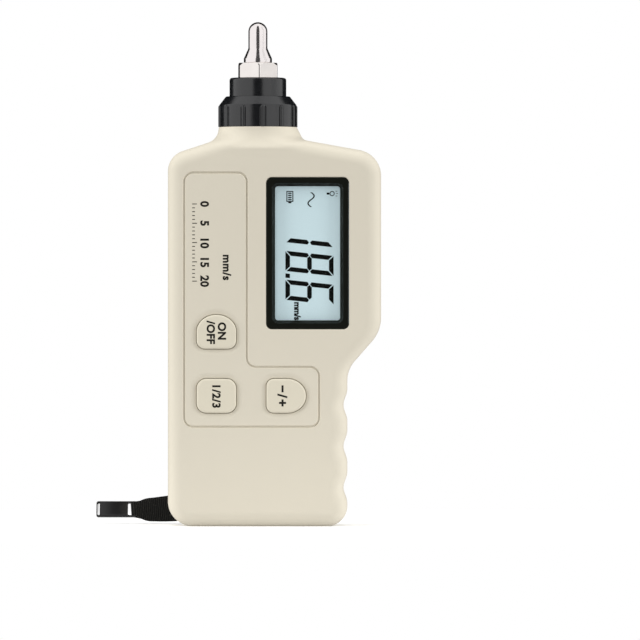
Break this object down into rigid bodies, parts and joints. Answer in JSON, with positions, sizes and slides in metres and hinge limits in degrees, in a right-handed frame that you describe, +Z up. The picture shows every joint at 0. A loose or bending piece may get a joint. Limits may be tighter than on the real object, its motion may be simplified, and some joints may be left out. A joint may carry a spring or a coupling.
{
  "type": "handheld vibration meter",
  "caption": "Handheld vibration meter with a wide head, keys and display in front, a contact probe on top, a battery door behind and a wrist strap.",
  "frame": {"origin": "centre of the case and its fittings at the base it stands on, on the parting plane of the shells", "axes": "+Z up along the meter towards the probe tip, -Y out of the display, +X to the right as seen from the front"},
  "size_m": [0.0894, 0.0383, 0.1588],
  "materials": {
    "case_plastic": "fine satin moulded ABS, warm beige",
    "screw_steel": "zinc plated steel",
    "bezel_plastic": "glossy black surround",
    "window_clear": "clear acrylic window",
    "lcd_glass": "pale blue grey liquid crystal cell",
    "diffuser_plastic": "white light guide",
    "zebra_rubber": "striped conductive rubber",
    "board_laminate": "green solder mask on glass epoxy",
    "chip_epoxy": "moulded epoxy",
    "capacitor_sleeve": "shrink sleeve",
    "trimmer_plastic": "moulded trimmer body",
    "plunger_plastic": "moulded nylon",
    "key_plastic": "satin moulded key, beige",
    "battery_sleeve": "printed steel sleeve, plain",
    "foam_rubber": "closed cell foam",
    "snap_vinyl": "moulded vinyl",
    "lead_vinyl": "vinyl insulation",
    "collar_plastic": "satin black moulded plastic",
    "ring_rubber": "nitrile rubber",
    "sensor_steel": "polished stainless steel",
    "piezo_ceramic": "sintered ceramic",
    "shim_brass": "thin brass",
    "tip_steel": "mirror polished steel",
    "strap_webbing": "woven black nylon webbing",
    "slider_plastic": "satin black acetal"
  },
  "bodies": {
    "case": {"front_shell": "case_plastic", "rear_shell": "case_plastic", "case_screws": "screw_steel", "display_bezel": "bezel_plastic", "display_window": "window_clear", "lcd_glass": "lcd_glass", "lcd_backlight": "diffuser_plastic", "contact_strip": "zebra_rubber", "main_board": "board_laminate", "board_screws": "screw_steel", "chips": "chip_epoxy", "capacitors": "capacitor_sleeve", "crystal": "screw_steel", "trimmers": "trimmer_plastic", "key_switches": "chip_epoxy", "battery": "battery_sleeve", "battery_foam": "foam_rubber", "battery_snap": "snap_vinyl", "battery_leads": "lead_vinyl", "collar_ring": "collar_plastic", "sensor_sleeve": "collar_plastic", "isolator_rings": "ring_rubber", "sensor_base": "sensor_steel", "sensor_can": "sensor_steel", "piezo_discs": "piezo_ceramic", "contact_shim": "shim_brass", "seismic_mass": "sensor_steel", "mass_nut": "screw_steel", "sensor_cable": "lead_vinyl", "strap_pin": "screw_steel", "wrist_strap": "strap_webbing", "strap_slider": "slider_plastic"},
    "measure_button": {"measure_key": "key_plastic", "measure_plunger": "plunger_plastic"},
    "mode_button": {"mode_key": "key_plastic", "mode_plunger": "plunger_plastic"},
    "range_button": {"range_key": "key_plastic", "range_plunger": "plunger_plastic"},
    "door": {"battery_door": "case_plastic"},
    "tip": {"probe_tip": "tip_steel"}
  },
  "joints": [
    {"name": "measure_press", "type": "slide", "parent": "case", "child": "measure_button", "axis": [0, 1, 0], "range_m": [0, 0.0005], "stiffness_N_per_m": 600, "springref_m": -0.0005},
    {"name": "mode_press", "type": "slide", "parent": "case", "child": "mode_button", "axis": [0, 1, 0], "range_m": [0, 0.0005], "stiffness_N_per_m": 600, "springref_m": -0.0005},
    {"name": "range_press", "type": "slide", "parent": "case", "child": "range_button", "axis": [0, 1, 0], "range_m": [0, 0.0005], "stiffness_N_per_m": 600, "springref_m": -0.0005},
    {"name": "door_slide", "type": "slide", "parent": "case", "child": "door", "axis": [0, 0, -1], "range_m": [0, 0.008]},
    {"name": "tip_unscrew", "type": "slide", "parent": "case", "child": "tip", "axis": [0, 0, 1], "range_m": [0, 0.0065]}
  ]
}
